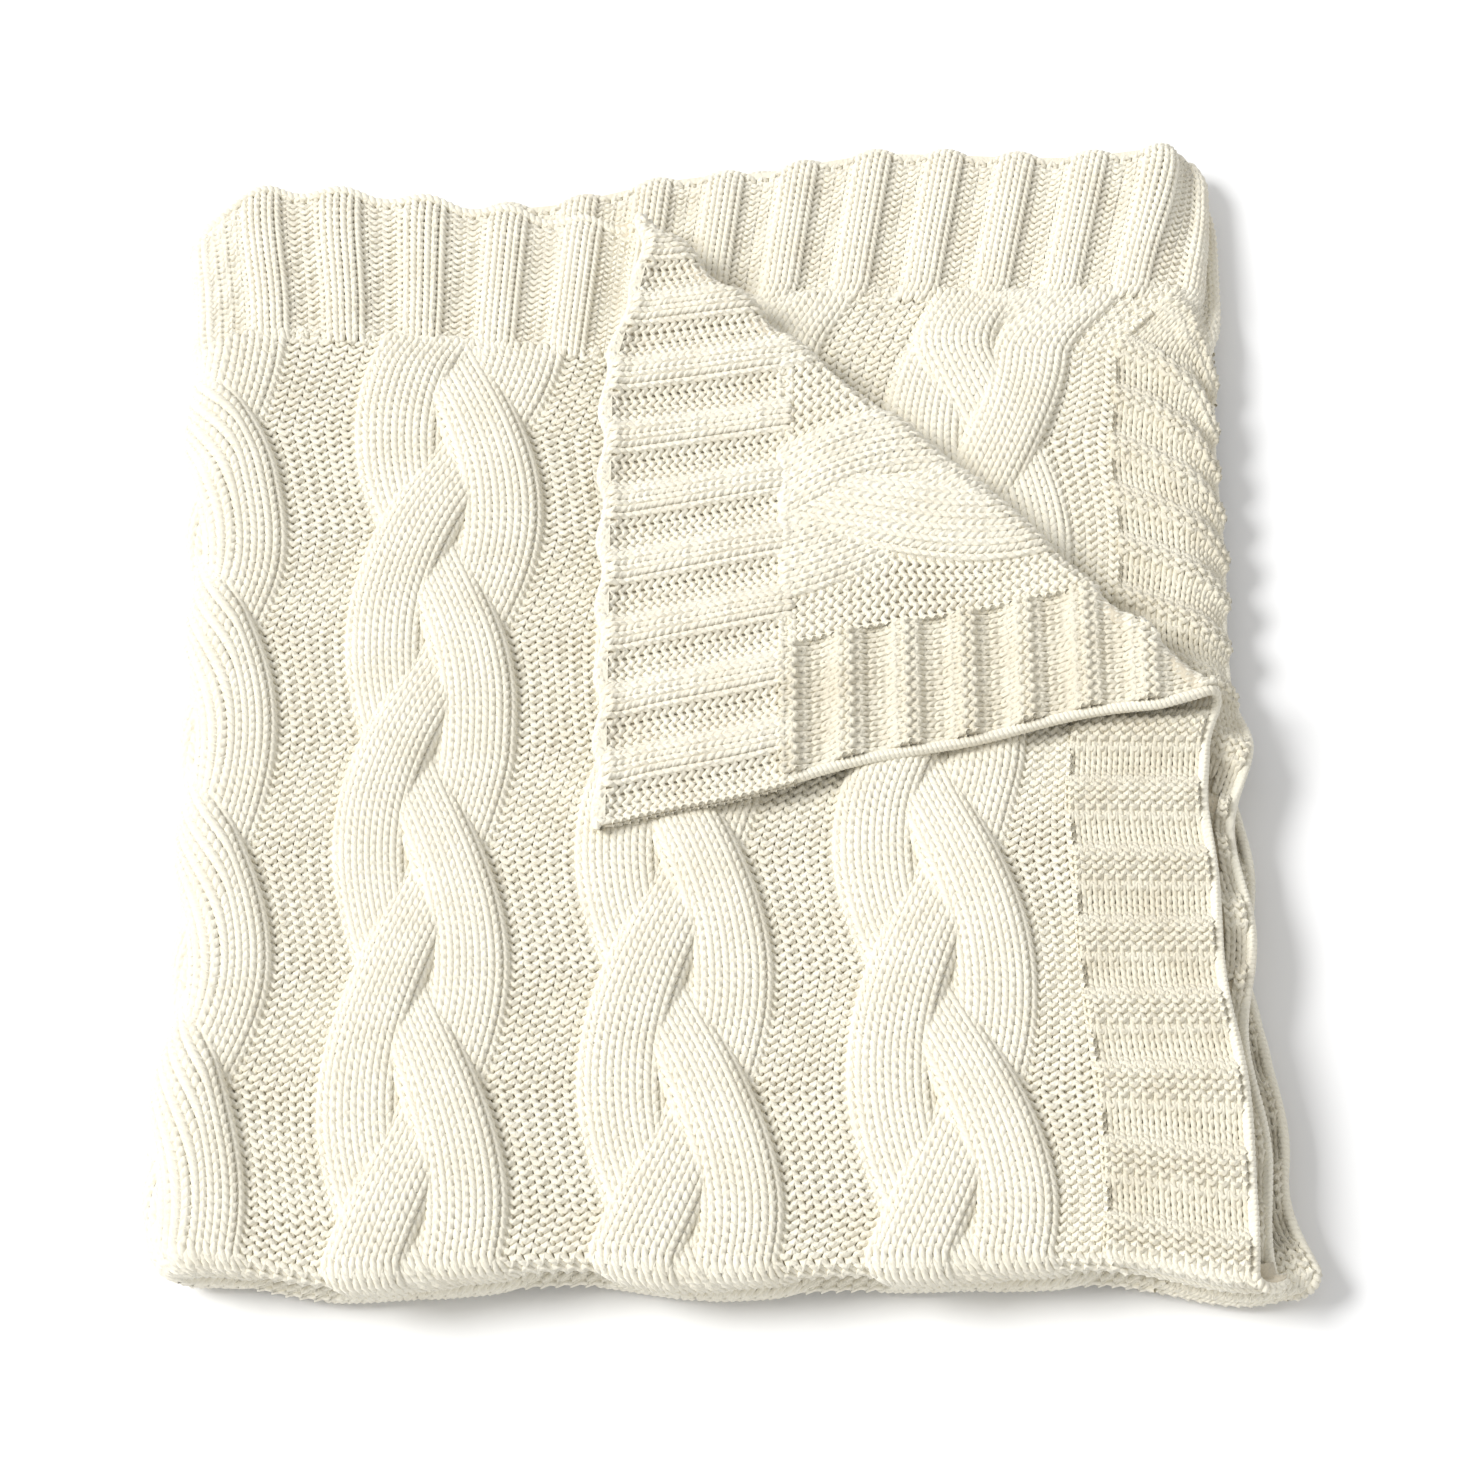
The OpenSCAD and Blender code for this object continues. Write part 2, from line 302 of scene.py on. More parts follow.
def wanted(face, u, v, pid, p):
    """(fine, coarse): which stitches are knitted in full and which are simpler, on this face."""
    layer = np.where(pid < ID["crease_roll"], pid // len(KINDS), -1)
    s = (p[..., 0] + p[..., 1]) / ROOT2
    if face > 0:
        fine = (layer == 3) | np.isin(pid, [ID[n] for n in (
            "side_fold_outer", "side_fold_outer_rib", "fold_corner", "upper_front_fold", "lower_front_fold",
            "crease_roll")])
        fine &= ~((layer == 3) & under_flap(u, v))
        fine &= ~((pid == ID["side_fold_outer"]) & (p[..., 2] < 8) & (p[..., 0] > -296))
        coarse = (layer > 0) | np.isin(pid, [ID["side_fold_inner"], ID["side_fold_inner_rib"]])
        return fine, coarse & ~fine
    shown = (s > 150) | (p[..., 1] > 305) | (p[..., 0] > 285)
    fine = (layer == 4) | (pid == ID["crease_roll"]) | ((layer == 2) & shown)
    coarse = (layer == 0) & ((p[..., 0] > 275) | (p[..., 1] > 345))
    return fine, coarse & ~fine


def squash(face, u, v):
    """How much of the cables' relief is left: full where they are free, pressed where layers lie on each other."""
    s = crease_pos(u, v)
    x = X_ARC + wide(u, v) - OUT_HALF
    top = (v > V_TURN) & (u > 0)
    if face > 0:
        # the turned-back corner lies on the top layer inside this outline
        edge = np.minimum(x - FLAP_X - 14, v - FLAP_Y - (x - FLAP_X) * FLAP_SLOPE - 10)
        under = sm(edge / 26) * (s < SC + 10)
        k = np.where(top, 1 - 0.65 * under, 0.2)
        k = np.where(top & (s > SC), 0.3, k)
        front = sm((V_HI + 30 - v) / 60)
        k = np.where(u > 0, k * (1 - 0.35 * front), k)
        k = np.where(v < V_TURN, 0.2, k)
        turn = np.clip((OUT_HALF - wide(u, v)) / (Z_TOP - HINGE_Z), 0, PI)
        at_side = 0.2 + 0.8 * sm((2.5 - turn) / 1.2) * (1 - 0.35 * front)
        return np.where((u < OUT_HALF) & (v > V_TURN), at_side, k)
    return np.where(top, 0.65, 0.8)


# ---------------------------------------------------------------- knitting
BINS = {}
SPLIT = ("top_cable_field", "second_cable_field", "third_cable_field")
BETWEEN_ROWS = 37.7  # yarn length that one row is ahead of the row before, so that the twist never lines up


def add(name, face, part, verts, quads, uv, bake, par, inner=0):
    """Collects knitting for a piece. The big fields are split by cable and by set of purl panels."""
    key = (name, face, part if name in SPLIT and face > 0 else "")
    BINS.setdefault(key, []).append((verts, quads, uv, bake, par, inner))


def fill(kind, ncol, rows, place, face, part):
    """The inside of the yarn: a plain ribbon just under the stitches, so that no gap between them is open."""
    a0 = np.arange(2 * ncol + 1) / 2
    b0 = np.arange(rows.min() - 0.5, rows.max() + 1.0, 1.0)
    tt, jj = np.meshgrid(a0, b0)
    u, v, rel, _ = place(tt, jj, tt, jj)
    p = world(u, v, face * (0.0 if face > 0 else 0.6) + rel)
    um, vm = (u[1:, 1:] + u[:-1, :-1]) / 2, (v[1:, 1:] + v[:-1, :-1]) / 2
    pid = piece_of(um, vm, kind)
    fine, coarse = wanted(face, um, vm, pid, (p[1:, 1:] + p[:-1, :-1]) / 2)
    for q in np.unique(pid[fine | coarse]):
        seg = (fine | coarse) & (pid == q)
        r0, m0 = np.nonzero(seg)
        w = p.shape[1]
        quads = np.stack([r0 * w + m0, r0 * w + m0 + 1, (r0 + 1) * w + m0 + 1, (r0 + 1) * w + m0], -1)
        ids, new = np.unique(quads, return_inverse=True)
        par = np.stack([u, v], -1).reshape(-1, 2)[ids]
        across = (m0[:, None] + np.array([0, 1, 1, 0])) / (2 * ncol)
        along = r0[:, None] - r0.min() + np.array([0, 0, 1, 1])
        uv = np.stack([across, along], -1).reshape(-1, 2) * 0.1
        bake = np.stack([across * 0.98 + 0.01, 0.1 + 0.8 * along / (along.max() + 1)], -1).reshape(-1, 2)
        add(NAMES[q], face, part, p.reshape(-1, 3)[ids], new.reshape(-1, 4), uv, bake, par, 1)


def knit(kind, ncol, rows, place, face=1, loop=0.8, lean=0.13, depth=1.25, radius=YARN, backed=True, part=""):
    """Knits ncol columns by the given rows, each row one continuous yarn.

    place(column, row, plain column, plain row) gives u, v, relief and the sign of the stitch, 1 knit or -1 purl.
    loop, lean and depth are the yarn's swing along, across and out of the fabric.
    """
    rows = np.asarray(rows, float)
    if backed:
        fill(kind, ncol, rows, place, face, part)
    for level in ("fine", "coarse"):
        per, sides = (8, 6) if level == "fine" else (6, 4)
        t = np.arange(ncol * per + 1) / per
        tt, jj = np.meshgrid(t, rows)
        b = jj + loop * np.cos(2 * PI * tt)
        sign = place(tt, b, tt, jj)[3]
        sign = sign if kind == "cable_field" else sign * face
        a = tt + np.where(sign > 0, 0.3 * lean, lean) * np.sin(4 * PI * tt)
        u, v, rel, _ = place(a, b, tt, jj)
        off = 1.3 if face > 0 else 1.9
        h = face * (off - depth * sign * np.cos(4 * PI * tt)) + rel
        p = world(u, v, h)
        # whole stitches stay together: each stitch goes where its middle lies
        mid = np.arange(ncol * per) // per * per + per // 2
        um, vm = u[:, mid], v[:, mid]
        pid = piece_of(um, vm, kind)
        fine, coarse = wanted(face, um, vm, pid, p[:, mid])
        if not backed:
            fine, coarse = pid >= 0, pid < 0
        use = fine if level == "fine" else coarse
        if not use.any():
            continue
        n = world(u, v, h + 0.4) - world(u, v, h - 0.4)
        n = n * face
        tan = np.gradient(p, axis=1)
        tan /= np.linalg.norm(tan, axis=-1, keepdims=True) + 1e-9
        n = n - (n * tan).sum(-1, keepdims=True) * tan
        n /= np.linalg.norm(n, axis=-1, keepdims=True) + 1e-9
        side = np.cross(tan, n)
        step = np.linalg.norm(np.diff(p, axis=1), axis=-1)
        run = np.concatenate([np.zeros((len(rows), 1)), np.cumsum(step, 1)], 1) + (rows * BETWEEN_ROWS)[:, None]
        ang = 2 * PI * np.arange(sides) / sides
        thick = radius * (1 + (0.6 * pressed(u, v) + 0.4 * spread(u, v) if face > 0 else 0))
        if kind == "side_welt":
            thick = thick * (1 - 0.16 * np.clip(sign, 0, 1))
        around = np.cos(ang)[:, None] * n[:, :, None] + np.sin(ang)[:, None] * side[:, :, None]
        ring = p[:, :, None] + np.broadcast_to(thick, u.shape)[:, :, None, None] * around
        for q in np.unique(pid[use]):
            seg = use & (pid == q)
            used = np.zeros(p.shape[:2], bool)
            used[:, :-1] |= seg
            used[:, 1:] |= seg
            new = np.cumsum(used.ravel()).reshape(used.shape) - 1
            r0, m0 = np.nonzero(seg)
            i0, i1 = new[r0, m0] * sides, new[r0, m0 + 1] * sides
            k = np.arange(sides)
            k2 = (k + 1) % sides
            quads = np.stack([i0[:, None] + k, i1[:, None] + k, i1[:, None] + k2, i0[:, None] + k2], -1)
            ua = run[r0, m0] / 10
            ub = run[r0, m0 + 1] / 10
            va, vb = k / sides, (k + 1) / sides
            uv = np.empty((len(r0), sides, 4, 2), np.float32)
            uv[..., 0, 0] = uv[..., 3, 0] = ua[:, None]
            uv[..., 1, 0] = uv[..., 2, 0] = ub[:, None]
            uv[..., 0, 1] = uv[..., 1, 1] = va
            uv[..., 2, 1] = uv[..., 3, 1] = vb
            bake = uv.copy()
            top = run.max() - run.min() + 1
            bake[..., 0] = 0.002 + 0.996 * (bake[..., 0] * 10 - (rows[r0] * BETWEEN_ROWS)[:, None, None]) / top
            bake[..., 1] = r0[:, None, None] + 0.04 + 0.92 * bake[..., 1]
            par = np.stack([u[used], v[used]], -1)
            add(NAMES[q], face, part, ring[used].reshape(-1, 3), quads.reshape(-1, 4), uv.reshape(-1, 2),
                bake.reshape(-1, 2), np.repeat(par, sides, 0))


# ---------------------------------------------------------------- the stitch patterns
CROSS_ROW, CROSS_V = 26, 19  # a row where strands cross, and its place along the fabric


def v_of(b):
    """Row number, growing from the top layer's end to the second layer's, to fabric length before bending."""
    return CROSS_V - ROW * (b - CROSS_ROW)


def strand(p):
    """Where a braid strand lies, and how far it is over or under, at row p of its course."""
    c = 32.5 * np.cos(2 * PI * (p - LAG / 2) / COURSE)
    q = np.mod(p, COURSE / 2)
    over = np.where(q < LAG, np.cos(PI * q / LAG), -np.cos(PI * (q - LAG) / (LAG / 2)))
    return c, over


def field_rows():
    """Rows of the cables and side borders, from one ribbed end to the other."""
    first = CROSS_ROW - (END_A - RIB_H - CROSS_V) / ROW
    last = CROSS_ROW + (CROSS_V - (END_B + RIB_H)) / ROW
    return np.arange(math.floor(first), math.ceil(last) + 1)


ROWS = field_rows()


def late(b):
    """The second half's braids run a little late."""
    return -10.8 * sm((b - 100) / 45)


def edges(b):
    """Left and right edge of a braid at row b, from its centre."""
    c = np.stack([strand(b + LAG * q + late(b))[0] for q in range(STRANDS)])
    return c.min(0) - STRAND_HALF, c.max(0) + STRAND_HALF


def braid(centre, q, face):
    """Strand q of a braid: six knit columns on a rounded back, over or under its neighbours."""
    def place(a, b, tt, jj):
        c, over = strand(b + LAG * q + late(b))
        w = (a - 3) / 3
        u = centre + c + w * STRAND_HALF
        dome = np.sqrt(np.clip(1 - np.abs(w) ** 3.4, 0, 1))
        high = 8.5 * dome - 2.2 + 3.8 * over * (0.3 + 0.7 * dome)
        high = 1.5 + (high - 1.5) * sm((b - ROWS[0] + 1) / 6) * sm((ROWS[-1] + 1 - b) / 6)
        v = lift(v_of(b), u)
        return u, v, face * high * squash(face, u, v), np.ones_like(u)
    return place


def ground(c0, c1, ncol, face):
    """Purl ground between the edges of two braids; c0 or c1 may be a plain border line instead."""
    def place(a, b, tt, jj):
        lo, hi = edges(b)
        left = c0[1] + hi - 5 if c0[0] == "braid" else c0[1] - 1.5 + 0 * b
        right = c1[1] + lo + 5 if c1[0] == "braid" else c1[1] + 1.5 + 0 * b
        f = a / ncol
        u = left + (right - left) * f
        v = lift(v_of(b), u)
        dip = -1.0 * np.sin(PI * np.clip(f, 0, 1))
        return u, v, face * dip * squash(face, u, v), -np.ones_like(u)
    return place


def welt_phase(b):
    """Bands of the side border: eight rows to a pair, and six towards the ribbed ends."""
    d = np.abs(b - 96.65)  # the row of the front fold
    return np.minimum(d, 70) / 8 + np.maximum(d - 70, 0) / 6.3 + 0.1


def welt_relief(b):
    """Height of the side border's bands at row b."""
    return -BAND_HIGH * np.tanh(1.5 * np.cos(2 * PI * welt_phase(b)) - 0.3) / math.tanh(1.5)


def welt(u0, u1):
    """Side border between two fabric columns, in knit and purl bands."""
    def place(a, b, tt, jj):
        u = u0 + (u1 - u0) * a / BANDS
        v = lift(v_of(b), u)
        sign = np.clip(3 * np.cos(2 * PI * welt_phase(jj)) - 0.6, -1, 1)
        return u, v, welt_relief(b), sign
    return place


RIB_PITCH = (RIB_H - END_IN) / RIB_ROWS


def rib_v(b, top):
    """Row of the ribbed end to fabric length before bending, for the top-and-bottom or second-and-third end."""
    along = END_IN + (b + 0.5) * RIB_PITCH
    return END_A - along if top else END_B + along


def down(u, top):
    """Which side of the fabric lies downwards, at an end of the throw."""
    return np.where(u > 0, -1, 1) * (1 if top else -1)


def fan(u, b, top):
    """How far the top layer's ribs lean towards the side fold at row b."""
    return -9.0 * (1 - b / RIB_ROWS) * np.exp(-((u - 70) / 90) ** 2) * top


def rib_wave(col):
    """1 on a knit rib, -1 between two."""
    return np.cos(2 * PI * (col - RIB_PHASE) / RIB_REPEAT)


def rib_out(col, u, top):
    """How far the ribs of the upper layers stand out past the end edge."""
    return 2.2 * rib_wave(col) * (1 if top else -1) * np.where(u > 0, 1 if top else -1, 0)


def roll_at(b, u, top):
    """How far row b of a ribbed end is rolled down."""
    return ROLL * down(u, top) * np.clip(1 - b / 2.2, 0, 1) ** 2


def rib_relief(col, b, u, top):
    """Height of the ribs, lower at their two ends and higher where the second layer curls."""
    ridge = np.tanh(1.5 * rib_wave(col)) / math.tanh(1.5)
    fade = (1 - 0.35 * sm(1 - b / 3)) * (1 - 0.6 * sm((b - RIB_ROWS + 4.5) / 4.5))
    curled = 1 + 0.8 * sm((X_ARC + np.abs(u) - OUT_HALF - 262) / 30) * (u > 0) * (not top)
    return RIB_HIGH * ridge * fade * curled + roll_at(b, u, top)


def rib(c_from, top):
    """Ribbed end from column c_from on."""
    def place(a, b, tt, jj):
        col = c_from + a
        u = col * HALF_W / RIB_COLS
        u = u + fan(u, b, top)
        v = lift(rib_v(b, top), u)
        sign = np.clip(2.5 * rib_wave(c_from + tt), -1, 1)
        return u, v + rib_out(col, u, top) * (1 - sm(b / 6)), rib_relief(col, b, u, top), sign
    return place


def side_chain(side):
    """Corded edge along a side: two yarns laid round each other."""
    def place(a, b, tt, jj):
        wind = 2 * PI * tt + PI * jj
        u = side * (HALF_W - 3.6 + CORD_R * np.cos(wind))
        v = lift(v_of(ROWS[0] + a), u)
        return u, v, CORD_R * np.sin(wind) - 0.4, np.ones_like(u)
    return place


def end_chain(top):
    """Corded edge along an end, which goes up and down with the ribs."""
    def place(a, b, tt, jj):
        wind = 2 * PI * tt + PI * jj
        col = a - RIB_COLS
        u = col * HALF_W / RIB_COLS
        u = u + fan(u, 0, top)
        in_by = 4.2 - CORD_R * np.cos(wind)
        v = lift(END_A - in_by if top else END_B + in_by, u)
        rel = CORD_R * np.sin(wind) + 2.1 * rib_wave(col) - 0.4 + ROLL * down(u, top)
        return u, v + rib_out(col, u, top), rel, np.ones_like(u)
    return place


def make_yarn():
    rib_rows = np.arange(RIB_ROWS)
    for face in (1, -1):
        for k, c in enumerate(BRAIDS):
            for q in range(STRANDS):
                knit("cable_field", 6, ROWS, braid(c, q, face), face, depth=0.85, radius=BRAID_YARN,
                     part=f"_cable_{k + 1}")
        for k, c in enumerate(BRAIDS[:-1]):
            panel = ground(("braid", c), ("braid", c + BRAID_PITCH), 7, face)
            knit("cable_field", 7, ROWS, panel, face, part=f"_purl_{(k + 1) // 2}")
        right = ground(("braid", BRAIDS[-1]), ("line", WELT_U), 5, face)
        left = ground(("line", -WELT_U), ("braid", BRAIDS[0]), 6, face)
        knit("cable_field", 5, ROWS, right, face, part="_purl_3")
        knit("cable_field", 6, ROWS, left, face, part="_purl_0")
        knit("side_welt", BANDS, ROWS, welt(WELT_U, HALF_W - SELVEDGE), face)
        knit("side_welt", BANDS, ROWS, welt(-HALF_W + SELVEDGE, -WELT_U), face)
        for top in (True, False):
            knit("rib_end", RIB_COLS, rib_rows, rib(0, top), face)
            knit("rib_end", RIB_COLS, rib_rows, rib(-RIB_COLS, top), face)
    cord = dict(loop=0, lean=0, depth=0, radius=BRAID_YARN, backed=False)
    for side in (1, -1):
        knit("side_chain", len(ROWS) - 1, (0, 1), side_chain(side), **cord)
    for top in (True, False):
        knit("end_chain", 2 * RIB_COLS, (0, 1), end_chain(top), **cord)


# ---------------------------------------------------------------- materials
def material(name, colour, dark, bump=0.5, yarn=True):
    """Matt fibre with a slow change between two colours; yarn also has the ridges of its plies."""
    m = bpy.data.materials.new(name)
    m.use_nodes = True
    links = m.node_tree.links
    bsdf = m.node_tree.nodes["Principled BSDF"]
    for socket, value in (("Roughness", 0.88), ("Sheen Weight", 0.35), ("Sheen Roughness", 0.5),
                          ("Specular IOR Level", 0.2)):
        bsdf.inputs[socket].default_value = value

    def node(kind, operation=None, **values):
        n = m.node_tree.nodes.new("ShaderNode" + kind)
        if operation:
            n.operation = operation
        for socket, value in values.items():
            n.inputs[int(socket[1:]) if socket[1:].isdigit() else socket.replace("_", " ")].default_value = value
        return n

    def noise(scale, detail):
        n = node("TexNoise", Scale=scale, Detail=detail)
        links.new(place.outputs["Object"], n.inputs["Vector"])
        return n

    place = node("TexCoord")
    blotch = node("MapRange", From_Min=0.3, From_Max=0.62)
    links.new(noise(38, 3).outputs["Fac"], blotch.inputs["Value"])
    mix = node("MixRGB", _1=(*dark, 1), _2=(*colour, 1))
    links.new(blotch.outputs["Result"], mix.inputs[0])
    links.new(mix.outputs[0], bsdf.inputs["Base Color"])
    if yarn:
        # the UV map "yarn" runs along the yarn in cm and once round it, so two plies wind 1.9 times a cm
        along = node("UVMap")
        along.uv_map = "yarn"
        split = node("SeparateXYZ")
        links.new(along.outputs["UV"], split.inputs[0])
        plies = node("Math", "MULTIPLY", _1=2.0)
        links.new(split.outputs["Y"], plies.inputs[0])
        twist = node("Math", "MULTIPLY_ADD", _1=1.9)
        links.new(split.outputs["X"], twist.inputs[0])
        links.new(plies.outputs[0], twist.inputs[2])
        turn = node("Math", "MULTIPLY", _1=2 * PI)
        links.new(twist.outputs[0], turn.inputs[0])
        sine = node("Math", "SINE")
        links.new(turn.outputs[0], sine.inputs[0])
        both = node("Math", "MULTIPLY_ADD", _1=0.55)
        links.new(sine.outputs[0], both.inputs[0])
        links.new(noise(900, 4).outputs["Fac"], both.inputs[2])
        height, distance = both.outputs[0], 0.0009
    else:
        height, distance = noise(420, 5).outputs["Fac"], 0.0016
    relief = node("Bump", Strength=bump, Distance=distance)
    links.new(height, relief.inputs["Height"])
    links.new(relief.outputs["Normal"], bsdf.inputs["Normal"])
    return m


MATS = {
    "cable_knit": material("cable_knit", (0.885, 0.843, 0.715), (0.84, 0.79, 0.655)),
    "rib_knit": material("rib_knit", (0.89, 0.848, 0.72), (0.845, 0.79, 0.655)),
    # The side borders' yarn is darker than the rest of the throw: painted shade for borders that slope away from
    # the light. The yarn is really one colour.
    "welt_knit": material("welt_knit", (0.815, 0.77, 0.64), (0.74, 0.685, 0.55)),
    "chain_edge": material("chain_edge", (0.90, 0.86, 0.73), (0.86, 0.81, 0.68)),
}
# The fabric under the yarn is darker than the yarn: painted shade, seen in the gaps between stitches and under the
# layers.
INNER_PAINTED_SHADE = material("inner_fabric_painted_shade", (0.74, 0.665, 0.52), (0.64, 0.57, 0.43), yarn=False, bump=0.8)
EDGE = material("edge_fabric", (0.87, 0.825, 0.695), (0.81, 0.76, 0.62), yarn=False, bump=0.8)


def slot_of(name):
    """Material slot of a piece, from its name."""
    for word, s in (("rib", "rib_knit"), ("welt", "welt_knit"), ("chain", "chain_edge")):
        if word in name:
            return s
    return "cable_knit"


# ---------------------------------------------------------------- meshes
def mesh_object(name, verts, quads, mat, uv=None, bake=None):
    me = bpy.data.meshes.new(name)
    me.vertices.add(len(verts))
    me.vertices.foreach_set("co", (verts * MM).astype(np.float32).ravel())
    me.loops.add(quads.size)
    me.loops.foreach_set("vertex_index", quads.astype(np.int32).ravel())
    me.polygons.add(len(quads))
    me.polygons.foreach_set("loop_start", np.arange(0, quads.size, 4, dtype=np.int32))
    me.update(calc_edges=True)
    me.polygons.foreach_set("use_smooth", np.ones(len(quads), bool))
    for n, data in (("OFBake", bake), ("yarn", uv)):
        if data is not None:
            layer = me.uv_layers.new(name=n)
            layer.data.foreach_set("uv", data.astype(np.float32).ravel())
    me.materials.append(mat)
    me.validate()
    o = bpy.data.objects.new(name, me)
    bpy.context.scene.collection.objects.link(o)
    return o


BODY = {n: frame["nodes"][n]["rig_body"] for n in NAMES}
BENDS = {n: ("lower", "upper") for n in NAMES if n.startswith("side_fold") or n == "fold_corner"}
BENDS["crease_roll"] = ("upper", "flap")


def attach(o, name):
    """Rides a piece on its body, or, for a piece in a fold, bakes its transform into its mesh and leaves it on no
    body.
    """
    if name in BENDS:
        if name == "crease_roll":
            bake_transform(o)
        else:
            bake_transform(o)
    else:
        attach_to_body(o, BODY[name])
    return o


def build_yarn():
    """Makes the yarn pieces out of what was knitted, and returns them by CAD node."""
    made = {}
    for (name, face, part), parts in BINS.items():
        lists = [[] for _ in range(6)]
        base, band = 0, 0
        for v, q, t, k, r, inner in parts:
            k = k.copy()
            rows_used = int(k[:, 1].max()) + 1
            k[:, 1] += band  # every row of yarn has its own strip of the bake map
            band += rows_used
            for kept, item in zip(lists, (v, q + base, t, k, r, np.full(len(q), inner, np.int32))):
                kept.append(item)
            base += len(v)
        verts, quads, uv, bake, par, index = (np.concatenate(x) for x in lists)
        bake[:, 1] /= band
        if face < 0:
            quads = quads[:, ::-1]
            uv = uv.reshape(-1, 4, 2)[:, ::-1].reshape(-1, 2)
            bake = bake.reshape(-1, 4, 2)[:, ::-1].reshape(-1, 2)
        label = f"yarn_{name}{part}" + ("" if face > 0 else "_reverse")
        o = mesh_object(label, verts, quads, MATS[slot_of(name)], uv, bake)
        # the filler ribbons take the darker inner colour, painted shade in the gaps between stitches
        o.data.materials.append(INNER_PAINTED_SHADE)
        o.data.polygons.foreach_set("material_index", index)
        attach(o, name)
        made.setdefault(name, []).append(o)
    return made


# ---------------------------------------------------------------- the fabric inside each node, a thin closed sheet
SHEET_ROW = 5.09  # row height with which the sheets roll down at the ends


def waves(name):
    """Relief of a border that is seen from both faces, at fabric places (u, v), and the mesh it needs."""
    if name.endswith("side_welt"):
        return (lambda u, v: welt_relief(CROSS_ROW + (CROSS_V - unlift(v, u)) / ROW)), 14, 190
    top = name == "flap_rib_end"

    def relief(u, v):
        v0 = unlift(v, u)
        along = (END_A - v0 if top else v0 - END_B) - END_IN
        return rib_relief(u * RIB_COLS / HALF_W, along / RIB_PITCH - 0.5, u, top)
    return relief, 220, 26


def slab(name, u0, u1, vlo, vhi, hi, lo, end=None):
    """Closed sheet of a node, and its flat size.

    It lies between fabric columns u0 and u1, from length vlo(u) to vhi(u) and from height lo to hi. end is the line
    of the throw's end, with which it rolls down, and whether that is the top and bottom layers' end.
    """
    relief, nu, nv = None, 60, 60
    if name in ("second_side_welt", "flap_side_welt", "second_rib_end", "flap_rib_end"):
        relief, nu, nv = waves(name)
        hi, lo = 0.2, -0.8
    uu = np.linspace(u0, u1, nu)
    f = np.linspace(0, 1, nv)
    a, b = vlo(uu), vhi(uu)
    b = np.maximum(b, a + 0.8)
    U = np.repeat(uu[:, None], nv, 1)
    V = a[:, None] + (b - a)[:, None] * f[None]
    roll = 0 * U
    if end is not None:
        line, is_top = end
        roll = roll_at((np.abs(line(uu)[:, None] - V) - END_IN) / SHEET_ROW - 0.5, U, is_top)
    if relief:
        roll = relief(U, V)
    top, bot = world(U, V, roll + hi), world(U, V, roll + lo)
    idx = np.arange(nu * nv).reshape(nu, nv)
    n = nu * nv
    q = [np.stack([idx[:-1, :-1], idx[1:, :-1], idx[1:, 1:], idx[:-1, 1:]], -1).reshape(-1, 4)]
    q.append(q[0][:, ::-1] + n)
    for line in (idx[:, 0], idx[-1, :], idx[::-1, -1], idx[0, ::-1]):
        q.append(np.stack([line[1:], line[:-1], line[:-1] + n, line[1:] + n], -1))
    verts = np.concatenate([top.reshape(-1, 3), bot.reshape(-1, 3)])
    # the sheets under the yarn take the darker inner colour, painted shade seen through the gaps; cord sheets take
    # the edge colour
    o = mesh_object(f"fabric_{name}", verts, np.concatenate(q), EDGE if "chain" in name else INNER_PAINTED_SHADE)
    par = np.stack([np.tile(U.ravel(), 2), np.tile(V.ravel(), 2)], -1)
    mid = (top + bot) / 2
    e1 = mid[1:, :-1] - mid[:-1, :-1]
    e2 = mid[:-1, 1:] - mid[:-1, :-1]
    area = np.linalg.norm(np.cross(e1, e2), axis=-1).sum()
    length = np.linalg.norm(np.diff(mid, axis=1), axis=-1).sum(1).max()
    across = np.linalg.norm(np.diff(mid, axis=0), axis=-1).sum(0).max()
    return o, par, area, across, length


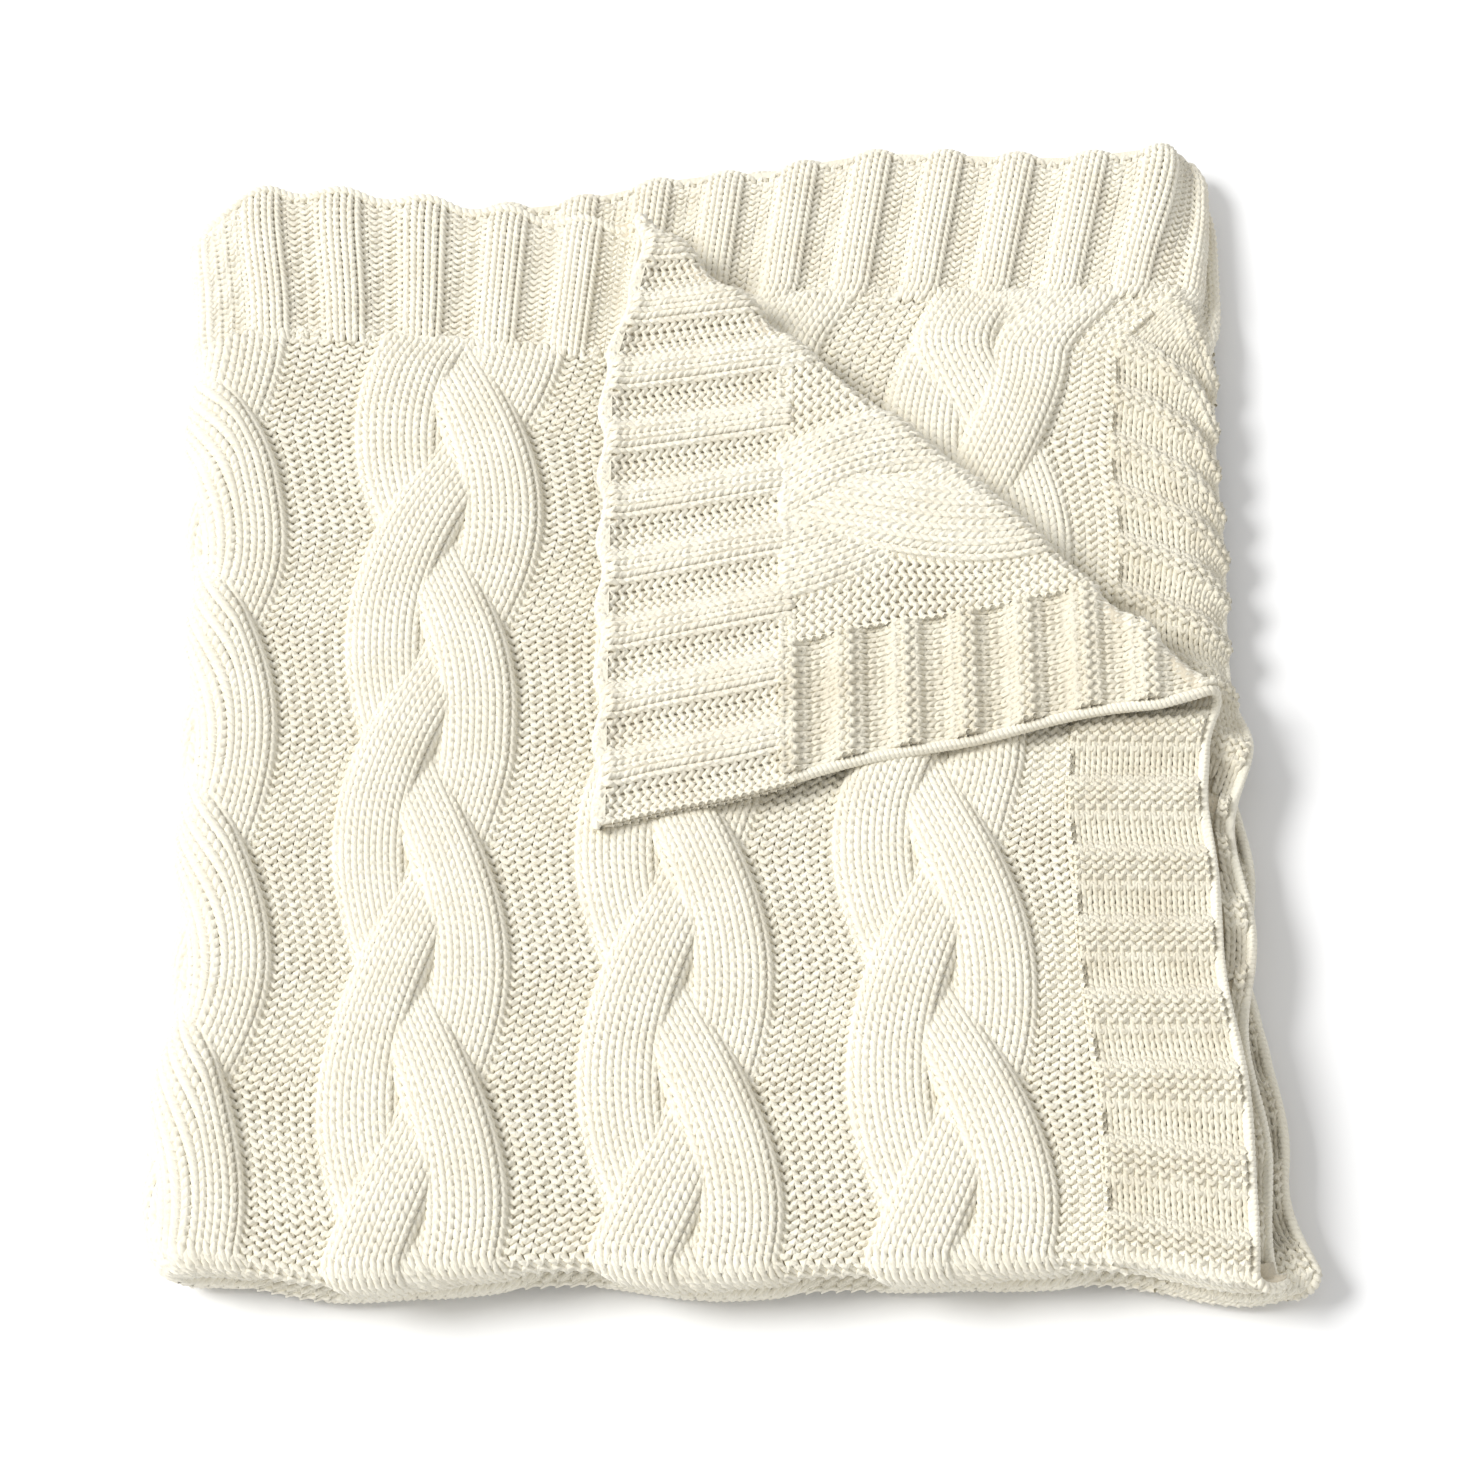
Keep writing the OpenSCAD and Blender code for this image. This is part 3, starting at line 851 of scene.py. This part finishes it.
def build_fabric(yarn):
    def const(x):
        return lambda u: x + 0 * u

    def row_line(top, into):
        """The line that lies so far in from the end edge."""
        return lambda u: lift(np.full_like(u, END_A - into if top else END_B + into), u)

    def crease_line(at):
        def f(u):
            v = np.zeros_like(u)
            for _ in range(12):
                v = at * ROOT2 - (X_ARC + wide(u, v) - OUT_HALF)
            return v
        return f

    def below(f, g):
        return lambda u: np.minimum(f(u), g(u))

    def above(f, g):
        return lambda u: np.maximum(f(u), g(u))

    def reach(lo_f, hi_f, a, b):
        """The part of a..b where there is something between the two lines."""
        u = np.linspace(a, b, 400)
        ok = hi_f(u) - lo_f(u) > 1.5
        return u[ok][0], u[ok][-1]

    cut, over = crease_line(CREASE_START), crease_line(CREASE_END)
    so, si = OUT_HALF + SIDE_FLAT, (IN_HALF + SIDE_FLAT) * 1.02
    rs, el, ee = (row_line(True, d) for d in (RIB_H, 8, 3))  # start of the ribs, of the cord, and the tip
    rs2, el2, ee2 = (row_line(False, d) for d in (RIB_H, 8, 3))
    front_lo, front_hi = const(V_LO), const(V_HI)
    border, cord, tip = HALF_W - SELVEDGE, HALF_W - 2.5, HALF_W - 2
    both = (0.5, -0.5)  # sheet faces of a layer that is knitted on both sides
    faces = {"top": (-3.6, -6.0), "bottom": (4.2, -4.2), "second": both, "third": (-1.4, -5.6)}
    specs = []
    for layer, sg, top in (("top", 1, True), ("bottom", -1, True), ("second", 1, False), ("third", -1, False)):
        start, hh = (so if top else si), faces[layer]
        a, b = sorted((sg * start, sg * WELT_U))
        w0, w1 = sorted((sg * WELT_U, sg * border))
        c0, c1 = sorted((sg * border, sg * cord))
        r0, r1 = sorted((sg * start, sg * tip))
        if top:
            f1, f2, f3 = (below(f, cut) for f in (rs, el, ee)) if layer == "top" else (rs, el, ee)
            specs += [(f"{layer}_cable_field", a, b, front_hi, f1, hh),
                      (f"{layer}_side_welt", w0, w1, front_hi, f1, hh),
                      (f"{layer}_side_chain", c0, c1, front_hi, f1, (0.6, -2.6)),
                      (f"{layer}_rib_end", r0, r1, f1, f2, hh), (f"{layer}_end_chain", r0, r1, f2, f3, (0, -2.4))]
        else:
            specs += [(f"{layer}_cable_field", a, b, rs2, front_lo, hh),
                      (f"{layer}_side_welt", w0, w1, rs2, front_lo, hh),
                      (f"{layer}_side_chain", c0, c1, rs2, front_lo, (1.0, -1.0)),
                      (f"{layer}_rib_end", r0, r1, el2, rs2, hh),
                      (f"{layer}_end_chain", r0, r1, ee2, el2, (0.4, -1.2))]
    rs_o, el_o, ee_o = (above(f, over) for f in (rs, el, ee))
    front, outer, inner = (-1.6, -4.2), (-2.0, -5.0), (0.6, -3.0)
    specs += [("flap_cable_field", so, WELT_U, over, rs_o, both),
              ("flap_side_welt", WELT_U, border, over, rs_o, both),
              ("flap_side_chain", border, cord, over, rs_o, (1.0, -1.0)),
              ("flap_rib_end", so, tip, rs_o, el_o, both),
              ("flap_end_chain", so, tip, el_o, ee_o, (-0.4, -2.0)),
              ("crease_roll", so, tip, below(cut, ee), below(over, ee), both),
              ("upper_front_fold", so, cord, front_lo, front_hi, front),
              ("lower_front_fold", -cord, -so, front_lo, front_hi, front),
              ("side_fold_outer", -so, so, front_hi, rs, outer),
              ("side_fold_outer_rib", -so, so, rs, ee, outer),
              ("side_fold_inner", -si, si, rs2, front_lo, inner),
              ("side_fold_inner_rib", -si, si, ee2, rs2, inner),
              ("fold_corner", -so, so, front_lo, front_hi, front)]
    done, sizes = {}, {}
    for name, a, b, flo, fhi, hh in specs:
        a, b = reach(flo, fhi, a, b)
        at_end = "rib" in name or "end_chain" in name or name == "crease_roll"
        second_half = name.startswith(("second", "third", "side_fold_inner"))
        end = (row_line(not second_half, 0), not second_half) if at_end else None
        o, par, area, across, length = slab(name, a, b, flo, fhi, *hh, end)
        attach(o, name)
        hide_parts(name)
        done[name], sizes[name] = o, (area * MM * MM, across * MM, length * MM)
    for name, o in done.items():
        if "chain" in name:  # narrower than a sheet: skipped
            continue
        area, w, l = sizes[name]


make_yarn()
build_fabric(build_yarn())
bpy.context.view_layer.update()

# ---------------------------------------------------------------- floor, light, camera
FLOOR_Z = -0.0035  # the lowest yarn stands a little below the CAD part's underside
PICTURE = 1460  # the picture's side, for the shift of the lens
scene = bpy.context.scene

floor_mat = bpy.data.materials.new("floor")
floor_mat.use_nodes = True
shader = floor_mat.node_tree.nodes["Principled BSDF"]
shader.inputs["Base Color"].default_value = (0.93, 0.93, 0.93, 1)
shader.inputs["Roughness"].default_value = 0.9
bpy.ops.mesh.primitive_plane_add(size=14, location=(0, 0, FLOOR_Z))
floor = bpy.context.object
floor.name = "floor"
floor.data.materials.append(floor_mat)

studio = bpy.data.worlds.new("studio")
scene.world = studio
studio.use_nodes = True
studio.node_tree.nodes["Background"].inputs["Color"].default_value = (1, 1, 1, 1)
studio.node_tree.nodes["Background"].inputs["Strength"].default_value = 0.64

key = bpy.data.objects.new("key", bpy.data.lights.new("key", "SUN"))
key.data.angle = math.radians(24)
key.data.energy = 2.8
key.location = (-3.0, 0.1, 2.9)
key.rotation_mode = "QUATERNION"
key.rotation_quaternion = (-key.location).to_track_quat("-Z", "Y")
scene.collection.objects.link(key)

cam = bpy.data.objects.new("camera", bpy.data.cameras.new("camera"))
scene.collection.objects.link(cam)
scene.camera = cam
ELEVATION, DISTANCE = math.radians(60), 2.47
back = Vector((0, -math.cos(ELEVATION), math.sin(ELEVATION)))
cam.location = back * DISTANCE
cam.rotation_mode = "QUATERNION"
cam.rotation_quaternion = (-back).to_track_quat("-Z", "Y")
cam.data.sensor_width = 36
cam.data.lens = 101.2
cam.data.shift_x = 3 / PICTURE
cam.data.shift_y = -28 / PICTURE
cam.data.clip_end = 50
scene.view_settings.view_transform = "Standard"
